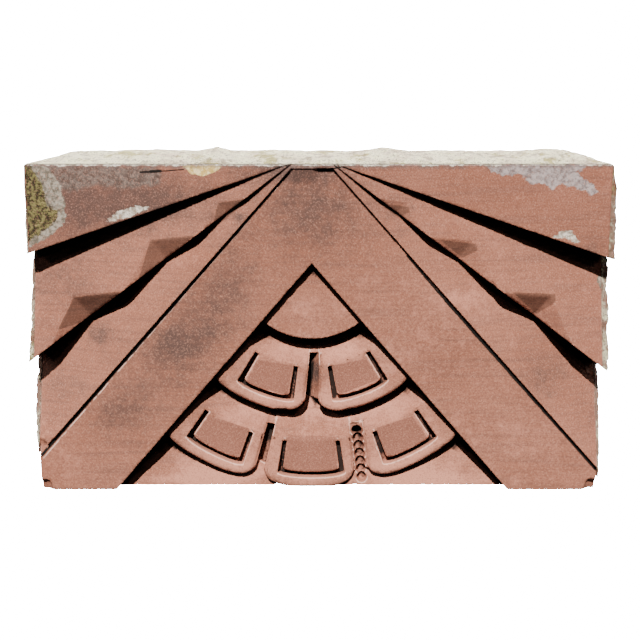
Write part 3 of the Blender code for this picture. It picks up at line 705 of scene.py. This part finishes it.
def flat_grid(corners, spacing):
    """Points of a slightly shifted triangular grid inside the box round some 2-D corners."""
    low_u, high_u = min(p.x for p in corners), max(p.x for p in corners)
    low_v, high_v = min(p.y for p in corners), max(p.y for p in corners)
    row_height = spacing * math.sqrt(3) / 2
    for row in range(1, int((high_v - low_v) / row_height) + 1):
        offset = (row % 2) / 2
        for column in range(int((high_u - low_u) / spacing) + 1):
            u = low_u + (column + offset) * spacing
            v = low_v + row * row_height
            shift = noise.noise_vector(Vector((u, v, 0.0)) * GRID_SHIFT_SCALE) * spacing * GRID_SHIFT
            yield Vector((u + shift.x, v + shift.y))


def inside(point, outline):
    """Whether a 2-D point lies inside a closed outline."""
    within = False
    for a, b in zip(outline, outline[1:] + outline[:1]):
        if (a.y > point.y) != (b.y > point.y) and point.x < (b.x - a.x) * (point.y - a.y) / (b.y - a.y) + a.x:
            within = not within
    return within


def fine_mesh(coarse, spacing_of):
    """Closed fine triangle mesh over a coarse one, as points and triangles."""
    points, triangles = [], []
    ids = {}
    for vertex in coarse.verts:
        ids[vertex] = len(points)
        points.append(vertex.co.copy())
    spacings = {face: spacing_of(face) for face in coarse.faces}
    runs = {}
    for edge in coarse.edges:
        start, end = edge.verts
        spacing = min(spacings[face] for face in edge.link_faces)
        steps = max(1, round((end.co - start.co).length / spacing))
        run = [ids[start]]
        for step in range(1, steps):
            run.append(len(points))
            points.append(start.co.lerp(end.co, step / steps))
        run.append(ids[end])
        runs[edge] = (start, run)
    for face in coarse.faces:
        outline = []
        for loop in face.loops:
            start, run = runs[loop.edge]
            outline += (run if loop.vert == start else run[::-1])[:-1]
        normal = face.normal
        across = normal.orthogonal().normalized()
        along = normal.cross(across)
        origin = face.verts[0].co
        offsets = [points[index] - origin for index in outline]
        flat = [Vector((offset.dot(across), offset.dot(along))) for offset in offsets]
        spacing = spacings[face]
        corners = flat[:]
        if face.calc_area() > spacing * spacing:
            border = KDTree(len(flat))
            for index, point in enumerate(flat):
                border.insert(point.to_3d(), index)
            border.balance()
            for point in flat_grid(corners, spacing):
                if border.find(point.to_3d())[2] > spacing * BORDER_GAP and inside(point, corners):
                    flat.append(point)
        count = len(corners)
        made = delaunay_2d_cdt(flat, [], [list(range(count))], CDT_INSIDE, CDT_EPSILON)
        verts_2d, faces_2d, sources = made[0], made[2], made[3]
        used = {}
        for index, source in enumerate(sources):
            if source and source[0] < count:
                used[index] = outline[source[0]]
        for face_2d in faces_2d:
            corner_ids = []
            for index in face_2d:
                if index not in used:
                    used[index] = len(points)
                    points.append(origin + across * verts_2d[index].x + along * verts_2d[index].y)
                corner_ids.append(used[index])
            triangles.append(corner_ids)
    return points, triangles


def vertex_normals(points, triangles):
    """Normal of each point, from the triangles round it weighted by their area."""
    normals = [Vector() for point in points]
    for a, b, c in triangles:
        facing = (points[b] - points[a]).cross(points[c] - points[a])
        for index in (a, b, c):
            normals[index] += facing
    return [normal.normalized() for normal in normals]


def light_cone_directions(count):
    """Directions spread over the cone that the light comes from."""
    golden = math.pi * (3 - math.sqrt(5))
    across = LIGHT_CONE_TO.orthogonal().normalized()
    along = LIGHT_CONE_TO.cross(across)
    found = []
    for index in range(count):
        cosine = 1 - (1 - math.cos(LIGHT_CONE_SPREAD)) * (index + 0.5) / count
        radius = math.sqrt(1 - cosine * cosine)
        turn = golden * index
        found.append(LIGHT_CONE_TO * cosine + (across * math.cos(turn) + along * math.sin(turn)) * radius)
    return found


def unlit_shares(tree, points, normals):
    """How much of the light cone each point of the carved side is kept from, from 0 to 1, which is painted as
    near black shade.
    """
    rays = light_cone_directions(SHADE_RAYS)
    shares = []
    for point, normal in zip(points, normals):
        blocked = 0
        broken_corner = abs(point.x) > BROKEN_CORNER_X and point.z < BROKEN_CORNER_Z
        top_strip = STRIP_UNSHADED_LEFT < point.x < STRIP_UNSHADED_RIGHT and point.z > TOP_Z - STRIP_UNSHADED_HEIGHT
        carved = normal.y < 0.6 and FRONT_Y + 0.002 < point.y < BACK_Y - 0.02
        if carved and not (broken_corner or top_strip):
            start = point + normal * SHADE_LIFT
            blocked = sum(1 for ray in rays if tree.ray_cast(start, ray, SHADE_REACH)[0])
        shares.append(blocked / SHADE_RAYS)
    return shares


def outline_value(place, outline):
    """0.5 on an outline, rising to 1 well inside it and falling to 0 well outside it."""
    nearest = OUTLINE_RAMP
    for a, b in zip(outline, outline[1:] + outline[:1]):
        run = b - a
        share = min(1.0, max(0.0, (place - a).dot(run) / run.length_squared))
        nearest = min(nearest, (place - a - run * share).length)
    signed = nearest if inside(place, outline) else -nearest
    return 0.5 + 0.5 * signed / OUTLINE_RAMP


def boxed(pixels):
    """An outline, and the low and high corner of the box that its ramp reaches."""
    outline = [Vector(pixel) for pixel in pixels]
    ramp = Vector((OUTLINE_RAMP, OUTLINE_RAMP))
    low = Vector((min(corner.x for corner in outline), min(corner.y for corner in outline)))
    high = Vector((max(corner.x for corner in outline), max(corner.y for corner in outline)))
    return outline, low - ramp, high + ramp


def painted_share(place, outlines):
    """The highest value of a pixel over some boxed outlines."""
    value = 0.0
    for outline, low, high in outlines:
        if low.x < place.x < high.x and low.y < place.y < high.y:
            value = max(value, outline_value(place, outline))
    return value


def tone_and_light_value(place):
    """How dark, above 0, or light, below 0, the softly bounded places make a pixel."""
    value = 0.0
    for px, py, across, down, strength in MOTTLING_AND_LIGHT:
        away = ((place.x - px) / across) ** 2 + ((place.y - py) / down) ** 2
        if away < 4.0:
            value += strength * math.exp(-away)
    return max(-1.0, min(1.0, value))


def patina_values(points, normals):
    """Values of each painted place, the blotchy tone with its painted light and shade, and the sides at each
    point.
    """
    places = [pixel_of(point) for point in points]
    values = {}
    for name, pixels in PATINA.items():
        outlines = [boxed(outline) for outline in pixels]
        deepest = FRONT_Y + PATINA_DEPTHS.get(name, PATINA_DEPTH)
        values[name] = [
            painted_share(place, outlines) if point.y < deepest and normal.y < -0.2 else 0.0
            for point, normal, place in zip(points, normals, places)
        ]
    values["tone_and_painted_light"] = [
        tone_and_light_value(place) if point.y < FRONT_Y + MOTTLING_AND_LIGHT_DEPTH else 0.0
        for point, place in zip(points, places)
    ]
    carved = [point.y < FRONT_Y + CARVED_DEPTH for point in points]
    values["back"] = [0.0 if near else 1.0 for near in carved]
    values["front"] = [1.0 if near and normal.y < -0.5 else 0.0 for near, normal in zip(carved, normals)]
    return values


def link_surface(name, node, points, triangles, values, material):
    """The finished surface as a piece that stands for a CAD node, kept inside the node's own box."""
    low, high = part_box(node)
    for point in points:
        for axis in range(3):
            point[axis] = min(high[axis], max(low[axis], point[axis]))
    data = bpy.data.meshes.new(name)
    data.from_pydata(points, [], triangles)
    for value_name, numbers in values.items():
        attribute = data.attributes.new(value_name, "FLOAT", "POINT")
        attribute.data.foreach_set("value", numbers)
    data.update()
    data.shade_smooth()
    data.materials.append(material)
    piece = bpy.data.objects.new(name, data)
    bpy.context.scene.collection.objects.link(piece)
    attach(piece, "root")
    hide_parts(node)


def bumpy(point, relief):
    """Height of noisy relief at a point, from 0 to twice its height, as (height, noise scale) says."""
    height, scale = relief
    return height * (1 + noise.noise(point * scale))


def stone_relief(point):
    """How far the stone's surface lies below its true plane: undulation, beds and grain."""
    depth = sum(bumpy(point, relief) for relief in STONE_RELIEF)
    return depth + BED_RELIEF * (1 + noise.noise(point * BED_SCALE))


def strip_fill(point):
    """How far the top left of the V band comes forward, where it and the strip over it wear into one."""
    behind = point.y - FRONT_Y
    below = (TOP_Z - STRIP_HEIGHT - point.z) / FILL_RUN
    if not (FILL_LEFT < point.x < 0.0 and -0.03 < below < 1.0 and 0.0 < behind < STRIP_STEP + 0.001):
        return 0.0
    fade = min(1.0, -point.x / FILL_FADE_RIGHT, (point.x - FILL_LEFT) / FILL_FADE_LEFT)
    return FILL_SHARE * behind * (1 - max(0.0, below)) * fade


def arris_wear(tree, facings, point):
    """Inward move of a point near a worn arris, how near to it the point is, and how far it faces up."""
    arris, index, distance = tree.find(point)
    if distance > WEAR_WIDTH + CHIP_WIDTH:
        return Vector(), 0.0, 0.0
    rate = 1.0 if point.y < BACK_Y - BACK_WEAR_MARGIN else 0.3
    reach = WEAR_WIDTH * (1 + 0.5 * noise.noise(arris * 38.0 * rate))
    bite = noise.noise(arris * 75.0 * rate) + 0.6 * noise.noise(arris * 22.0 * rate)
    reach += CHIP_WIDTH * max(0.0, bite - CHIP_START)
    nearness = max(0.0, 1 - distance / reach)
    return -facings[index] * reach * WEAR_DEPTH * nearness ** 2, nearness, facings[index].z


def stone_spacing(face):
    """Wide on the plain back, bed and joint faces, fine on everything else."""
    centre = face.calc_center_median()
    facing = face.normal
    hidden = facing.y > 0.9 or abs(facing.x) > 0.9 or abs(facing.z) > 0.99
    plain = hidden and (centre.y > FRONT_Y + 0.06 or centre.z > TOP_Z - 0.001 or centre.z < 0.001)
    side = abs(facing.x) > 0.9 and abs(centre.x) > STONE_HIGH.x - OUTER_MARGIN
    return HIDDEN_SPACING if plain or side else FRONT_SPACING


def dress_stone(material):
    """The stone's surface with worn arrises, relief and painted values."""
    coarse = flattened(STONE)
    tree, facings = arris_tree(coarse)
    points, triangles = fine_mesh(coarse, stone_spacing)
    normals = vertex_normals(points, triangles)
    values = {"unlit": unlit_shares(BVHTree.FromBMesh(coarse), points, normals)}
    values.update(patina_values(points, normals))
    values["arris"] = []
    coarse.free()
    for index, (point, normal) in enumerate(zip(points, normals)):
        move, nearness, facing_up = arris_wear(tree, facings, point)
        # Painted highlight: nearness to a worn arris counts only where the arris faces up
        values["arris"].append(nearness * min(1.0, max(0.0, 3.0 * facing_up)))
        if point.z > TOP_Z - 0.004 or abs(point.x) > STONE_HIGH.x - OUTER_MARGIN:
            move *= OUTER_WEAR_SHARE
        relief = stone_relief(point) * max(HIDDEN_RELIEF_SHARE, min(1.0, -normal.y * 1.2))
        if values["moss"][index] > 0.5:
            relief += bumpy(point, MOSS_RELIEF)
        if values["white_lime"][index] > 0.5:
            relief += bumpy(point, LIME_RELIEF)
        fill = strip_fill(point)
        # Less painted shade where the strip's left half comes forward
        values["unlit"][index] *= 1 - min(1.0, fill / (FILL_SHARE * STRIP_STEP))
        points[index] = point + move - Vector((0.0, fill, 0.0)) - normal * relief
    link_surface("keystone_surface", STONE, points, triangles, values, material)


def dress_mortar(name, node, thickness_of, facing_stone, material):
    """Rough, lumpy surface of a mortar piece. The side that lies on the stone stays as it is."""
    coarse = flattened(node)
    points, triangles = fine_mesh(coarse, lambda face: MORTAR_SPACING)
    normals = vertex_normals(points, triangles)
    coarse.free()
    for index, (point, normal) in enumerate(zip(points, normals)):
        if normal.dot(facing_stone) > 0.3:
            continue
        room = MORTAR_SHARE * max(0.0, thickness_of(point))
        depth = 0.5 * bumpy(point, MORTAR_LUMPS)
        depth += MORTAR_PITS[0] * max(0.0, noise.noise(point * MORTAR_PITS[1]))
        depth += 0.5 * bumpy(point, MORTAR_CRUMBS)
        points[index] = point - normal * min(room, depth)
    link_surface(name, node, points, triangles, {}, material)


def half_width_near(z):
    """Half the stone's width at a height, from its widest at the top bed."""
    return STONE_HIGH.x - SIDE_TAPER * (1 - z / TOP_Z)


def above_bed(point):
    return point.z - TOP_Z


def left_of_stone(point):
    return -point.x - half_width_near(point.z)


def right_of_stone(point):
    return point.x - half_width_near(point.z)


# The vector noise takes its seed from the clock if none is set
noise.seed_set(NOISE_SEED)

add_camera()
add_light()
add_sky()
add_floor()
stone = sandstone()
mortar = lime_mortar("old lime mortar", 0.0)
joint_mortar = lime_mortar("joint mortar stained by the stone", 0.85)
dress_stone(stone)
dress_mortar("top_mortar_surface", TOP_MORTAR, above_bed, Vector((0, 0, -1)), mortar)
dress_mortar("left_mortar_surface", LEFT_MORTAR, left_of_stone, Vector((1, 0, 0)), joint_mortar)
dress_mortar("right_mortar_surface", RIGHT_MORTAR, right_of_stone, Vector((-1, 0, 0)), joint_mortar)

[[list(corner) for corner in box] for box in (CAD_BOX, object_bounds())]
